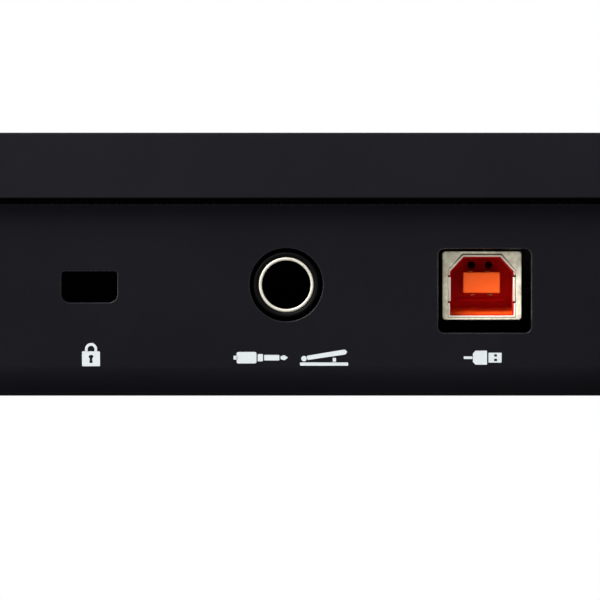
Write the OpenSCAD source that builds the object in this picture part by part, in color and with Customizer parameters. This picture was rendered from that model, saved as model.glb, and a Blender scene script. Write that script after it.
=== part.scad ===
// Compact digital piano with 32 slim keys, on a folding X-stand.
// +X is the player's right, +Y points away from the player, +Z is up.
// The origin is on the floor, under the middle of the stand.

/* [Case] */
// Width of the case
case_w = 430; // [430:1:460]
// Depth of the case
case_d = 190; // [190:1:200]
// Height of the case, without its feet
case_h = 34.5; // [34.5:0.5:38]
// Thickness of the moulded walls
wall = 2.4; // [2:0.1:2.8]
// How far the top cover stands out past the lower case
overhang = 2.2; // [1.5:0.1:2.6]
// Height of the lower case, where the seam starts
seam_z = 25.2; // [24.8:0.1:25.6]
// Open gap between the two halves of the case
seam_gap = 0.7; // [0.4:0.1:1]

/* [Keys] */
// Width of one white key with its gap
key_pitch = 20; // [19:0.25:20]
// Height of the white keys' top above the case's bottom
white_top = 26.5; // [26:0.1:26.8]
// Height of the black keys' top above the case's bottom
black_top = 33.5; // [31:0.5:34]
// Width of a black key's slot
black_w = 10.5; // [10:0.25:11]
// Gap between neighbouring keys
key_gap = 0.7; // [0.5:0.1:1]

/* [Ports] */
// Place of the port group along the back
port_x = -70; // [-76:1:-62]
// Radius of the pedal socket's bore, for a 6.35 mm plug
jack_r = 3.2; // [3.19:0.01:3.25]
// Width of the lock slot
lock_w = 7.3; // [7:0.1:8]
// Height of the lock slot
lock_h = 4.05; // [3.5:0.05:4.5]

/* [Stand] */
// Height of the case's bottom above the floor
piano_z = 700; // [650:10:760]
// Half the distance between the floor bars
foot_x = 200; // [190:5:230]
// Half the distance between the support arms
arm_x = 150; // [140:5:160]
// Length of the floor bars without their caps
foot_len = 374; // [340:2:420]
// Length of the support arms without their caps
arm_len = 294; // [280:2:320]
// Side of the square tube in the bars and arms
bar_side = 25; // [22:1:28]
// Width of the leg tube in the plane of the X
leg_w = 30; // [25:1:35]
// Thickness of the leg tube along the pivot
leg_t = 20; // [16:1:24]

/* [Hidden] */
$fn = 64;
bit = 1; // how far a cutting solid runs past the face it cuts
round_bottom = 4;
corner_r = 8;
fit = 0.05; // radial clearance of a turning fit
hair = 0.02; // radial clearance of a pushed-in pin

// Case
low_w = case_w - 2 * overhang;
low_d = case_d - 2 * overhang;
back_y = low_d / 2; // outer face of the rear panel
panel_in_y = back_y - wall;
panel_w = 412;
deck_z = case_h;
deck_under = case_h - wall;
fall_y = 5; // front face of the fallboard
fall_z = 27.6; // lower edge of the fallboard
rail_z = 16; // top of the front rail
cheek_drop_z = 8; // lower edge of the cheeks' inner walls
lip_t = 1.2;
lip_gap = 0.3; // from the lip to the lower case's walls
lip_low_z = 22.6;
post_x = 203.5;
post_ys = [-80, 0, 84];
board_t = 1.6;

// Keys
groups = [4, 3, 4, 3, 4, 1]; // white keys in each run without a black key at its ends
letters = [["c"], [], ["c", "d", "e"], ["f", "g", "a", "b"]];
function group_letters(n) = letters[n - 1];
function before(g) = g == 0 ? 0 : groups[g - 1] + before(g - 1);
function octave(g) = 3 + ceil(g / 2);
function tail_w(n) = (n * key_pitch - (n - 1) * black_w) / n;
whites_n = before(len(groups));
keys_w = whites_n * key_pitch;
well_x = keys_w / 2 + 0.6; // half the width of the key well
function group_x(g) = before(g) * key_pitch - keys_w / 2;
// Each white key: name, left of its head, left of its tail, width of its tail
WHITE = [for (g = [0:len(groups) - 1]) for (i = [0:groups[g] - 1]) [
    str("key_", group_letters(groups[g])[i], octave(g)),
    group_x(g) + i * key_pitch,
    group_x(g) + i * (tail_w(groups[g]) + black_w),
    tail_w(groups[g])]];
// Each black key: name, left of its slot
BLACK = [for (g = [0:len(groups) - 1]) if (groups[g] > 1) for (i = [0:groups[g] - 2]) [
    str("key_", group_letters(groups[g])[i], "_sharp", octave(g)),
    group_x(g) + (i + 1) * tail_w(groups[g]) + i * black_w]];
key_front = -89.4;
key_bottom = 14.5;
key_wall = 1.6;
plate_t = 2.4; // thickness of the white keys' top plate
plate_out = 1; // how far that plate stands out over the key's front
notch_y = -49; // where the white keys narrow for the black ones
black_front = -46.5;
black_slope = 3.5;
black_side_gap = 0.9;
black_low = 26; // top of a black key's tail, under the deck
cavity_top = 24.2;
cavity_end = 38;
rib_y = 1.5; // half the thickness of the rib that presses a contact
pivot_y = 52;
pivot_z = 20.5;
rod_r = 2;
boss_r = 5.4;
rod_half = 196;

// Key frame
frame_z = 4.4;
frame_t = 2;
frame_x = 196;
frame_top = frame_z + frame_t;
frame_screws = [for (x = [-150, 0, 150]) for (y = [-66, 40]) [x, y]];
dome_r = 3.4;
dome_top = 11.6;
strip_z = frame_top + board_t;
strip_t = 1;

// Ports, from the case's bottom
lock_x = port_x + 27.6;
lock_z = 14.3;
socket_x = port_x + 1.8;
socket_z = 14.6;
usb_x = port_x - 23.9;
usb_z = 14.5;
usb_cut = [12.2, 11];
usb_cut_x = port_x - 24.2;
usb_cut_z = 13.8;
panel_hole_r = 4.8;
bush_r = 4.3;
sleeve_r = 3.75;
sleeve_len = 8.4;
bush_y = back_y - 0.4; // mouth of the pedal socket
jack_side = 14;
jack_back_y = 63;
jack_bore_y = 64.5;
shell = [10.4, 16.6, 9];
shell_front_y = back_y - 2.2;
usb_hole = [8.65, 7.9];
usb_bevel = [1.9, 2.3];
tongue = [5.2, 8.4, 2.95];
tongue_y = 80;
port_board_z = 6;
port_board = [usb_x - 11, 63, socket_x + 13, panel_in_y - 0.8];

// Controls on the deck
control_y = 76;
power_x = -12;
voice_xs = [22, 42];
volume_x = 88;
control_board_z = 26;
control_board = [-26, 64, 102, 88];
power_r = 4;
voice_size = [12, 5.5];
cap_gap = 0.25;
cap_foot_z = 30.9;
cap_top_z = case_h + 1;
switch_top = 30;
pot_side = 10;
pot_top = 31.6;
shaft_r = 3;
shaft_top = 41;
knob_z = case_h + 0.6;

// Speakers
speaker_x = 160;
grille = [66, 26];
grille_hole = [60, 20];
grille_t = 1;
grille_z = case_h - grille_t - 0.2;
slot_n = 15;
slot = [2, 17];
slot_step = 4;

// Stand
tube_wall = 1.6;
tube_r = 2.6; // outer corner radius of the tubes
rubber_r = 4;
rubber_side = bar_side + 6;
foot_z = rubber_side / 2;
sit_gap = 0.3; // from the arms' rubber to the case
arm_z = piano_z - sit_gap - rubber_side / 2;
leg_angle = atan((arm_x + foot_x) / (arm_z - foot_z)); // from upright
pivot_up = foot_z + (arm_z - foot_z) * foot_x / (foot_x + arm_x);
leg_low = norm([foot_x, pivot_up - foot_z]);
leg_high = norm([arm_x, arm_z - pivot_up]);
leg_stop = 5; // how far a leg ends short of a bar's middle
disc_r = 42;
disc_t = 8.35;
leg_y = 8.5 + leg_t / 2; // a leg's middle, from the plane between the discs
bolt_r = 5;
washer_t = 1.9;
leg_face = leg_y + leg_t / 2;
cap_len = 32;
cap_end = 3;
sleeve_end = 120;
sleeve_room = 3.5; // from a sleeve's end to the leg
knob_y = leg_face + washer_t + 0.5;

// ---- Helpers ----

// Everything inside stands at the piano's height.
module on_stand() translate([0, 0, piano_z]) children();

// A plan outline with round corners.
module round_rect(w, d, r) {
    square([w, d - 2 * r], center = true);
    square([w - 2 * r, d], center = true);
    for (x = [-1, 1], y = [-1, 1]) translate([x * (w / 2 - r), y * (d / 2 - r)]) circle(r);
}

// A section that stands on y = 0, with its two lower corners round.
module round_foot(w, h, r) {
    translate([-w / 2, r]) square([w, h - r]);
    translate([r - w / 2, 0]) square([w - 2 * r, h]);
    for (x = [-1, 1]) translate([x * (w / 2 - r), r]) circle(r);
}

// Turns a section drawn in Y and Z into a bar along X.
module along_x(x0, length) {
    translate([x0, 0, 0]) rotate([90, 0, 90]) linear_extrude(length) children();
}

// Turns a section drawn in X and Z into a plate from y0, towards +Y.
module along_y(y0, length) {
    translate([0, y0 + length, 0]) rotate([90, 0, 0]) linear_extrude(length) children();
}

// A cylinder along +Y from y0.
module rod_y(x, y0, z, r, length) {
    translate([x, y0, z]) rotate([-90, 0, 0]) cylinder(r = r, h = length);
}

// A board given by its corners in plan.
module board(corners, z) {
    translate([corners[0], corners[1], z])
        cube([corners[2] - corners[0], corners[3] - corners[1], board_t]);
}

// ---- Case ----

// The lower case before it is hollowed.
module lower_block() {
    intersection() {
        linear_extrude(seam_z) round_rect(low_w, low_d, corner_r - overhang);
        along_x(-case_w / 2, case_w) round_foot(low_d, seam_z, round_bottom);
        along_y(-case_d / 2, case_d) round_foot(low_w, seam_z, round_bottom);
    }
}

module panel_room(side_gap) {
    translate([-panel_w / 2 - side_gap, panel_in_y, -bit])
        cube([panel_w + 2 * side_gap, wall + bit, seam_z + 2 * bit]);
}

module screw_places() {
    for (x = [-1, 1], y = post_ys) translate([x * post_x, y, 0]) children();
    for (p = frame_screws) translate([p[0], p[1], 0]) children();
}

module bottom_case() {
    color("#202024") on_stand() {
        difference() {
            lower_block();
            translate([wall - low_w / 2, wall - low_d / 2, wall])
                cube([low_w - 2 * wall, low_d - 2 * wall, case_h]);
            translate([-well_x, -low_d / 2 - bit, rail_z]) cube([2 * well_x, wall + 2 * bit, case_h]);
            panel_room(0.1);
            screw_places() {
                translate([0, 0, -bit]) cylinder(r = 1.7, h = wall + 2 * bit);
                translate([0, 0, -bit]) cylinder(r = 3.2, h = 1.2 + bit);
            }
        }
        for (x = [port_board[0] + 4, port_board[2] - 4])
            translate([x, 70, wall]) cylinder(r = 3, h = port_board_z - wall);
    }
}

module lock_outline() {
    r_top = 0.4;
    r_low = 1.1;
    translate([-lock_w / 2, r_low - lock_h / 2]) square([lock_w, lock_h - r_low - r_top]);
    translate([r_top - lock_w / 2, 0]) square([lock_w - 2 * r_top, lock_h / 2]);
    translate([r_low - lock_w / 2, -lock_h / 2]) square([lock_w - 2 * r_low, lock_h / 2]);
    for (x = [-1, 1]) {
        translate([x * (lock_w / 2 - r_top), lock_h / 2 - r_top]) circle(r_top);
        translate([x * (lock_w / 2 - r_low), r_low - lock_h / 2]) circle(r_low);
    }
}

module rear_panel() {
    color("#1b1b20") on_stand() difference() {
        intersection() {
            lower_block();
            panel_room(0);
        }
        along_y(panel_in_y - bit, wall + 2 * bit) {
            translate([lock_x, lock_z]) lock_outline();
            translate([socket_x, socket_z]) circle(panel_hole_r);
            translate([usb_cut_x, usb_cut_z]) round_rect(usb_cut[0], usb_cut[1], 0.8);
        }
    }
}

module deck_openings() {
    for (x = [-1, 1]) translate([x * speaker_x, control_y, 0]) {
        translate([0, 0, deck_under - bit]) linear_extrude(wall + 2 * bit)
            round_rect(grille_hole[0], grille_hole[1], 3);
        translate([0, 0, grille_z]) linear_extrude(wall) round_rect(grille[0], grille[1], 4);
    }
    translate([power_x, control_y, deck_under - bit]) cylinder(r = power_r + cap_gap, h = wall + 2 * bit);
    translate([volume_x, control_y, deck_under - bit]) cylinder(r = shaft_r + 0.6, h = wall + 2 * bit);
    for (x = voice_xs) translate([x, control_y, deck_under - bit]) linear_extrude(wall + 2 * bit)
        round_rect(voice_size[0] + 2 * cap_gap, voice_size[1] + 2 * cap_gap, 1.2);
}

// The top cover before it is hollowed: the back leans in, and the front edge is chamfered.
module upper_block() {
    low_z = seam_z + seam_gap;
    intersection() {
        translate([0, 0, low_z]) linear_extrude(case_h - low_z) round_rect(case_w, case_d, corner_r);
        along_x(-case_w / 2, case_w) polygon([
            [-case_d / 2, low_z], [case_d / 2, low_z], [case_d / 2 - 1, case_h],
            [2 - case_d / 2, case_h], [-case_d / 2, case_h - 2]]);
    }
}

// The top cover's inner lip, which closes the seam behind the gap.
module lip() {
    in_w = low_w - 2 * wall - 2 * lip_gap;
    in_d = low_d - 2 * wall - 2 * lip_gap;
    low_z = seam_z + seam_gap;
    difference() {
        union() {
            translate([-in_w / 2, -in_d / 2, lip_low_z]) cube([in_w, in_d, low_z - lip_low_z + 0.1]);
            translate([0, 0, low_z]) linear_extrude(lip_t) round_rect(case_w - 3, case_d - 3, corner_r - 1.5);
        }
        translate([lip_t - in_w / 2, lip_t - in_d / 2, lip_low_z - bit])
            cube([in_w - 2 * lip_t, in_d - 2 * lip_t, case_h]);
        translate([-well_x - 1, -case_d, lip_low_z - bit]) cube([2 * well_x + 2, case_d + fall_y, case_h]);
    }
}

// The room under the deck and under the two cheeks.
module cover_void(low_z) {
    intersection() {
        translate([0, 0, low_z]) linear_extrude(deck_under - low_z)
            round_rect(case_w - 2 * wall, case_d - 2 * wall, corner_r - wall);
        union() {
            translate([-case_w / 2, fall_y + wall, low_z]) cube([case_w, case_d, case_h]);
            for (side = [0, 1]) mirror([side, 0, 0])
                translate([well_x + wall, -case_d / 2, low_z])
                    cube([case_w, case_d / 2 + fall_y + wall + bit, case_h]);
        }
    }
}

module top_cover() {
    void_z = seam_z - bit;
    color("#26262a") on_stand() difference() {
        union() {
            difference() {
                upper_block();
                cover_void(void_z);
                translate([-well_x, -case_d / 2 - bit, void_z])
                    cube([2 * well_x, case_d / 2 + bit + fall_y, case_h]);
                translate([-well_x, fall_y - bit, void_z])
                    cube([2 * well_x, wall + 2 * bit, fall_z - void_z]);
            }
            for (side = [0, 1]) mirror([side, 0, 0]) {
                translate([well_x, -low_d / 2 + wall + 0.4, cheek_drop_z])
                    cube([wall, low_d / 2 - 0.4 + fall_y, deck_under - cheek_drop_z]);
                for (y = post_ys) translate([post_x, y, wall]) cylinder(r = 4, h = deck_under - wall + 0.1);
            }
            lip();
            for (x = [control_board[0] + 3, control_board[2] - 3])
                translate([x, control_y, control_board_z + board_t])
                    cylinder(r = 2.5, h = deck_under - control_board_z - board_t + 0.1);
        }
        for (x = [-1, 1], y = post_ys)
            translate([x * post_x, y, wall - bit]) cylinder(r = 1.5 + hair, h = 13 + bit);
        deck_openings();
    }
}

module case_screws() {
    color("silver") on_stand() screw_places() difference() {
        union() {
            translate([0, 0, 0.2]) cylinder(r = 2.8, h = 1);
            cylinder(r = 1.5, h = frame_top - 0.2);
        }
        for (a = [0, 90]) translate([0, 0, 0.4]) rotate([0, 0, a]) cube([3, 0.6, 0.9], center = true);
    }
}

module case_feet() {
    color("#141414") on_stand() for (x = [-1, 1], y = [-1, 1])
        translate([x * 192, y * 74, -2.5]) difference() {
            cylinder(r = 6, h = 2.5);
            translate([0, 0, -bit]) cylinder(r = 3.6, h = 0.5 + bit);
        }
}

// ---- Keys and what they work on ----

module key_bore(x, w) {
    translate([x - bit, pivot_y, pivot_z]) rotate([0, 90, 0]) cylinder(r = rod_r + fit, h = w + 2 * bit);
}

module key_boss(x, w) {
    translate([x, pivot_y, pivot_z]) rotate([0, 90, 0]) cylinder(r = boss_r, h = w);
}

module white_key(k) {
    head_x = k[1] + key_gap / 2;
    head_w = key_pitch - key_gap;
    tail_x = k[2] + key_gap / 2;
    tail = k[3] - key_gap;
    body_y = key_front + plate_out;
    color("ivory") on_stand() difference() {
        union() {
            translate([head_x, body_y, key_bottom])
                cube([head_w, notch_y - body_y, white_top - key_bottom]);
            translate([head_x, key_front, white_top - plate_t])
                cube([head_w, notch_y - key_front, plate_t]);
            translate([tail_x, notch_y - bit, key_bottom])
                cube([tail, pivot_y - notch_y + bit, white_top - key_bottom]);
            key_boss(tail_x, tail);
        }
        translate([head_x + key_wall, body_y + key_wall, key_bottom - bit])
            cube([head_w - 2 * key_wall, notch_y - body_y - 2 * key_wall, cavity_top - key_bottom + bit]);
        translate([tail_x + key_wall, notch_y - 2 * key_wall, key_bottom - bit])
            cube([tail - 2 * key_wall, 2 * key_wall - notch_y - rib_y, cavity_top - key_bottom + bit]);
        translate([tail_x + key_wall, rib_y, key_bottom - bit])
            cube([tail - 2 * key_wall, cavity_end - rib_y, cavity_top - key_bottom + bit]);
        key_bore(tail_x, tail);
    }
}

module black_key(k) {
    x = k[1] + black_side_gap / 2;
    w = black_w - black_side_gap;
    low = key_bottom + 1;
    color("#18181a") on_stand() difference() {
        union() {
            along_x(x, w) polygon([
                [black_front, low], [black_front, white_top + 0.5],
                [black_front + black_slope, black_top], [fall_y - 1.5, black_top],
                [fall_y - 1.5, black_low], [pivot_y, black_low], [pivot_y, low]]);
            key_boss(x, w);
        }
        translate([x + key_wall, black_front + key_wall, low - bit])
            cube([w - 2 * key_wall, -black_front - key_wall - rib_y, cavity_top - low + bit]);
        translate([x + key_wall, rib_y, low - bit])
            cube([w - 2 * key_wall, cavity_end - rib_y, cavity_top - low + bit]);
        key_bore(x, w);
    }
}

module key_frame() {
    color("#38383c") on_stand() difference() {
        union() {
            translate([-frame_x, -88, frame_z]) cube([2 * frame_x, 148, frame_t]);
            for (side = [0, 1]) mirror([side, 0, 0])
                translate([well_x + 0.8, pivot_y - 5, frame_z]) cube([4.2, 10, pivot_z - frame_z + 4.5]);
            for (k = WHITE) translate([k[1] + key_pitch / 2 - 3, -82, frame_z]) cube([6, 7, 11]);
            for (k = BLACK) translate([k[1] + black_w / 2 - 1.8, -38, frame_z]) cube([3.6, 7, 11]);
            for (p = frame_screws) translate([p[0], p[1], wall]) cylinder(r = 4, h = frame_t + 0.1);
        }
        for (p = frame_screws)
            translate([p[0], p[1], 0]) cylinder(r = 1.5 + hair, h = frame_top + bit);
        translate([-case_w / 2, pivot_y, pivot_z]) rotate([0, 90, 0])
            cylinder(r = rod_r + hair, h = case_w);
    }
}

module key_rod() {
    color("silver") on_stand()
        translate([-rod_half, pivot_y, pivot_z]) rotate([0, 90, 0]) cylinder(r = rod_r, h = 2 * rod_half);
}

module contact_strip() {
    middles = concat([for (k = WHITE) k[2] + k[3] / 2], [for (k = BLACK) k[1] + black_w / 2]);
    color("#505458") on_stand() {
        translate([2 - keys_w / 2, -10, strip_z]) cube([keys_w - 4, 20, strip_t]);
        for (x = middles) translate([x, 0, strip_z]) cylinder(r = dome_r, h = dome_top - strip_z);
    }
}

module circuit_boards() {
    color("darkgreen") on_stand() {
        translate([1 - keys_w / 2, -12, frame_top]) cube([keys_w - 2, 24, board_t]);
        board(port_board, port_board_z);
        board(control_board, control_board_z);
        for (x = concat([power_x], voice_xs)) translate([x - 2.5, control_y - 2.5, control_board_z])
            cube([5, 5, switch_top - control_board_z]);
        translate([volume_x - pot_side / 2, control_y - pot_side / 2, control_board_z])
            cube([pot_side, pot_side, pot_top - control_board_z]);
        translate([volume_x, control_y, control_board_z])
            cylinder(r = shaft_r, h = shaft_top - control_board_z);
    }
}

// ---- Ports ----

// The D-shaped mouth of the data port, in X and Z, with its two upper corners cut off.
module usb_mouth(shrink) {
    w = usb_hole[0] / 2 - shrink;
    h = usb_hole[1] / 2 - shrink;
    bevel = usb_bevel - [0.4, 0.4] * shrink;
    polygon([
        [-w, -h], [w, -h], [w, h - bevel[1]], [w - bevel[0], h], [bevel[0] - w, h], [-w, h - bevel[1]]]);
}

module usb_shell() {
    back = shell_front_y - shell[1];
    color("silver") on_stand() difference() {
        union() {
            translate([usb_x - shell[0] / 2, back, usb_z - shell[2] / 2]) cube(shell);
            for (x = [-1, 1])
                translate([usb_x + x * (shell[0] / 2 - 0.4) - 0.4, back + 1, port_board_z + board_t])
                    cube([0.8, 3, usb_z - port_board_z - board_t]);
        }
        translate([usb_x, 0, usb_z]) along_y(back - bit, shell[1] + 2 * bit) usb_mouth(0);
    }
}

module usb_insert() {
    back = shell_front_y - shell[1];
    liner_front = shell_front_y - 1.2;
    color("orangered") on_stand() translate([usb_x, 0, usb_z]) {
        difference() {
            along_y(back, liner_front - back) usb_mouth(0.03);
            difference() {
                along_y(tongue_y, liner_front) usb_mouth(0.6);
                translate([-tongue[0] / 2, tongue_y - bit, -tongue[2] / 2 + 0.3])
                    cube([tongue[0], tongue[1] + bit, tongue[2]]);
            }
            for (x = [-1, 1]) translate([x * 1.15 - 0.5, tongue_y - 3, tongue[2] / 2 + 0.75])
                cube([1, 3 + bit, 0.8]);
        }
    }
}

module pedal_jack() {
    half = jack_side / 2;
    color("#101012") on_stand() difference() {
        union() {
            translate([socket_x - half, jack_back_y, socket_z - half])
                cube([jack_side, panel_in_y - 0.1 - jack_back_y, jack_side]);
            rod_y(socket_x, jack_back_y + bit, socket_z, bush_r, bush_y - jack_back_y - bit);
        }
        rod_y(socket_x, jack_bore_y, socket_z, jack_r, case_d);
        rod_y(socket_x, bush_y - sleeve_len, socket_z, sleeve_r, case_d);
    }
}

module jack_sleeve() {
    color("silver") on_stand() difference() {
        rod_y(socket_x, bush_y - sleeve_len, socket_z, sleeve_r, sleeve_len);
        rod_y(socket_x, bush_y - sleeve_len - bit, socket_z, jack_r, sleeve_len + 2 * bit);
    }
}

module lock_plate() {
    plate = [20, 1.5, 14];
    color("gray") on_stand() difference() {
        translate([lock_x - plate[0] / 2, panel_in_y - plate[1], lock_z - plate[2] / 2]) cube(plate);
        translate([lock_x, 0, lock_z])
            along_y(panel_in_y - plate[1] - bit, plate[1] + 2 * bit) lock_outline();
    }
}

// ---- Sound ----

module speakers() {
    color("#2c2c2c") on_stand() for (x = [-1, 1]) translate([x * speaker_x, control_y, 0]) {
        difference() {
            translate([0, 0, deck_under - 2]) linear_extrude(2) round_rect(64, 25, 5);
            translate([0, 0, deck_under - 0.6]) linear_extrude(bit) round_rect(56, 19, 7);
        }
        translate([0, 0, deck_under - 9]) linear_extrude(7) round_rect(54, 18, 6);
        translate([0, 0, deck_under - 15]) cylinder(r = 9, h = 6);
    }
}

module speaker_grilles() {
    color("#303034") on_stand() for (x = [-1, 1])
        translate([x * speaker_x, control_y, grille_z]) difference() {
            linear_extrude(grille_t) round_rect(grille[0] - 0.2, grille[1] - 0.2, 3.9);
            for (i = [0:slot_n - 1]) translate([(i - (slot_n - 1) / 2) * slot_step, 0, -bit])
                linear_extrude(grille_t + 2 * bit) round_rect(slot[0], slot[1], 0.9);
        }
}

// ---- Controls ----

module volume_knob() {
    color("#222226") on_stand() translate([volume_x, control_y, knob_z]) difference() {
        union() {
            cylinder(r = 9, h = 1.4);
            cylinder(r = 7.6, h = 8);
        }
        translate([0, 0, -bit]) cylinder(r = shaft_r + fit, h = shaft_top - knob_z + 0.3 + bit);
        translate([-0.5, 3.4, 7.5]) cube([1, 5, bit]);
    }
}

module power_button() {
    color("#2a2a2e") on_stand() translate([power_x, control_y, cap_foot_z]) {
        cylinder(r = power_r, h = cap_top_z - cap_foot_z);
        cylinder(r = power_r + 1.2, h = deck_under - cap_foot_z - 0.2);
    }
}

module voice_button(x) {
    color("#2a2a2e") on_stand() translate([x, control_y, cap_foot_z]) {
        linear_extrude(cap_top_z - cap_foot_z) round_rect(voice_size[0], voice_size[1], 1);
        linear_extrude(deck_under - cap_foot_z - 0.2)
            round_rect(voice_size[0] + 2.4, voice_size[1] + 2.4, 1);
    }
}

// ---- Stand ----

// Children are drawn for the left leg, which stands on the left and leans to the right.
module leaned() translate([0, 0, pivot_up]) rotate([0, leg_angle, 0]) children();

// A straight length of square bar along Y, with its long edges rounded to r.
module bar(x, z, y0, length, side, r) {
    along_y(y0, length) translate([x, z]) round_rect(side, side, r);
}

module leg() {
    inner = bar_side - 2 * tube_wall;
    low = leg_stop - leg_low;
    length = leg_low + leg_high - 2 * leg_stop;
    difference() {
        union() {
            leaned() translate([0, leg_y, low]) linear_extrude(length) round_rect(leg_w, leg_t, tube_r);
            bar(-foot_x, foot_z, -foot_len / 2, foot_len, bar_side, tube_r);
            bar(arm_x, arm_z, -arm_len / 2, arm_len, bar_side, tube_r);
        }
        leaned() translate([tube_wall - leg_w / 2, leg_y + tube_wall - leg_t / 2, low + 24])
            cube([leg_w - 2 * tube_wall, leg_t - 2 * tube_wall, length - 48]);
        bar(-foot_x, foot_z, -foot_len / 2 - bit, foot_len + 2 * bit, inner, tube_r - tube_wall);
        bar(arm_x, arm_z, -arm_len / 2 - bit, arm_len + 2 * bit, inner, tube_r - tube_wall);
        rod_y(0, 0, pivot_up, bolt_r + fit, leg_face + bit);
    }
}

// One friction disc, welded to its leg, with a raised ring at its rim.
module clutch() {
    difference() {
        union() {
            rod_y(0, 0.15, pivot_up, disc_r, disc_t - 3);
            rod_y(0, 0.15, pivot_up, disc_r - 8, disc_t);
        }
        rod_y(0, 0, pivot_up, bolt_r + fit, disc_t + bit);
        rod_y(0, 0, pivot_up, disc_r - 12, 0.6);
    }
}

// A rubber cup over the end of a bar that points to +Y.
module end_cap(x, z, end_y) {
    difference() {
        bar(x, z, end_y + cap_end - cap_len, cap_len, rubber_side, rubber_r);
        bar(x, z, end_y - cap_len, cap_len, bar_side + 2 * hair, tube_r);
    }
}

module sleeve(x, z, y0, y1) {
    difference() {
        bar(x, z, y0, y1 - y0, rubber_side, rubber_r);
        bar(x, z, y0 - bit, y1 - y0 + 2 * bit, bar_side + 2 * hair, tube_r);
    }
}

module rubbers() {
    near = leg_y - leg_t / 2 - sleeve_room;
    far = leg_face + sleeve_room;
    for (side = [0, 1]) mirror([0, side, 0]) {
        end_cap(-foot_x, foot_z, foot_len / 2);
        end_cap(arm_x, arm_z, arm_len / 2);
    }
    sleeve(arm_x, arm_z, -sleeve_end + 10, near);
    sleeve(arm_x, arm_z, far, sleeve_end - 10);
}

// The right leg is the left one turned half round.
module turned() rotate([0, 0, 180]) children();

module pivot_bolt() {
    color("silver") {
        rod_y(0, -leg_face - 24, pivot_up, bolt_r, 2 * leg_face + 24 + washer_t + 1);
        translate([0, leg_face + washer_t, pivot_up]) rotate([-90, 0, 0])
            cylinder(r = 9.2, h = 6.4, $fn = 6);
        difference() {
            union() {
                rod_y(0, leg_face, pivot_up, 11, washer_t);
                rod_y(0, -leg_face - washer_t - 0.1, pivot_up, 11, washer_t);
            }
            rod_y(0, -leg_face - 4, pivot_up, bolt_r + hair, 2 * leg_face + 8);
        }
    }
}

module clamp_knob() {
    grip_t = 20;
    color("#202022") difference() {
        union() {
            rod_y(0, -knob_y - 6, pivot_up, 12, 6);
            rod_y(0, -knob_y - 5 - grip_t, pivot_up, 19, grip_t);
            for (a = [0:60:359])
                rod_y(19 * cos(a), -knob_y - 5 - grip_t, pivot_up + 19 * sin(a), 6, grip_t);
        }
        rod_y(0, -leg_face - 24.6, pivot_up, bolt_r + fit, 30);
    }
}

// ---- Nodes ----

for (k = WHITE) white_key(k);
for (k = BLACK) black_key(k);
bottom_case();
rear_panel();
top_cover();
key_frame();
key_rod();
contact_strip();
circuit_boards();
usb_shell();
usb_insert();
pedal_jack();
jack_sleeve();
lock_plate();
speakers();
speaker_grilles();
case_feet();
case_screws();
volume_knob();
power_button();
voice_button(voice_xs[0]);  // voice_down_button
voice_button(voice_xs[1]);  // voice_up_button
color("#1c1c1e") leg();  // left_leg
color("#1c1c1e") turned() leg();  // right_leg
color("#303032") clutch();  // left_clutch
color("#303032") turned() clutch();  // right_clutch
color("#101010") rubbers();  // left_rubbers
color("#101010") turned() rubbers();  // right_rubbers
pivot_bolt();
clamp_knob();
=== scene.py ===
"""Looks of the compact digital piano on its folding X-stand. Metres, in the frame of the CAD part."""

import math

import bmesh
import bpy
from mathutils import Matrix, Vector


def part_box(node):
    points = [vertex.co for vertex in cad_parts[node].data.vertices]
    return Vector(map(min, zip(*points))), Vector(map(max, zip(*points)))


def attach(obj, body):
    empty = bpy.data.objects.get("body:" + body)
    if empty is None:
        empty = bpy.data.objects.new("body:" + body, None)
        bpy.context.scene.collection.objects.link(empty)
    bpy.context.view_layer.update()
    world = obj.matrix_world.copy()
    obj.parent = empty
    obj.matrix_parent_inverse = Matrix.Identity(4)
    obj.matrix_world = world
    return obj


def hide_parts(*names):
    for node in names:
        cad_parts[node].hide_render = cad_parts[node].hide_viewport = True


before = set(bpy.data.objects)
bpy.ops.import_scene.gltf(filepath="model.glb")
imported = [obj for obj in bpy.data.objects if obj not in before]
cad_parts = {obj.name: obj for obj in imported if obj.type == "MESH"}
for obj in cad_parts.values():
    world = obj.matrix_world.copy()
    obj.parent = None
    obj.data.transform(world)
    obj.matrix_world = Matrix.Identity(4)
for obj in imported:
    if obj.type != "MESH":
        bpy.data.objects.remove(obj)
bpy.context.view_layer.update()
MM = 0.001


# ---- Camera, light and floor ----

def middle(node):
    low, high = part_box(node)
    return (low + high) / 2


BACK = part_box("rear_panel")[1].y  # the rear panel's outer face
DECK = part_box("top_cover")[1].z  # the top cover's upper face
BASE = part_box("bottom_case")[0].z  # the case's underside
SOCKET = middle("jack_sleeve")
USB = middle("usb_insert")
LOCK = middle("lock_plate")

# The photograph's crop: its middle on the rear panel, its width there, and the camera's distance.
VIEW_CENTRE = Vector((SOCKET.x - 1.8 * MM, BACK, BASE + 12.6 * MM))
VIEW_WIDTH = 78.6 * MM
VIEW_DISTANCE = 0.8
SENSOR = 36  # the camera's, in millimetres

camera_data = bpy.data.cameras.new("camera")
camera = bpy.data.objects.new("camera", camera_data)
bpy.context.scene.collection.objects.link(camera)
camera_data.sensor_width = SENSOR
camera_data.lens = SENSOR * VIEW_DISTANCE / VIEW_WIDTH
camera_data.clip_start = 0.05
camera_data.clip_end = 60
camera.location = VIEW_CENTRE + Vector((0, VIEW_DISTANCE, 0))
camera.rotation_euler = (math.radians(90), 0, math.radians(180))
bpy.context.scene.camera = camera


def area_light(name, place, target, size, power, colour):
    """A soft rectangular light, which doesn't show in the picture itself."""
    data = bpy.data.lights.new(name, "AREA")
    data.shape = "RECTANGLE"
    data.size, data.size_y = size
    data.energy = power
    data.color = colour
    light = bpy.data.objects.new(name, data)
    bpy.context.scene.collection.objects.link(light)
    light.location = place
    light.visible_camera = False
    light.rotation_euler = (Vector(target) - Vector(place)).to_track_quat("-Z", "Y").to_euler()
    return light


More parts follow.
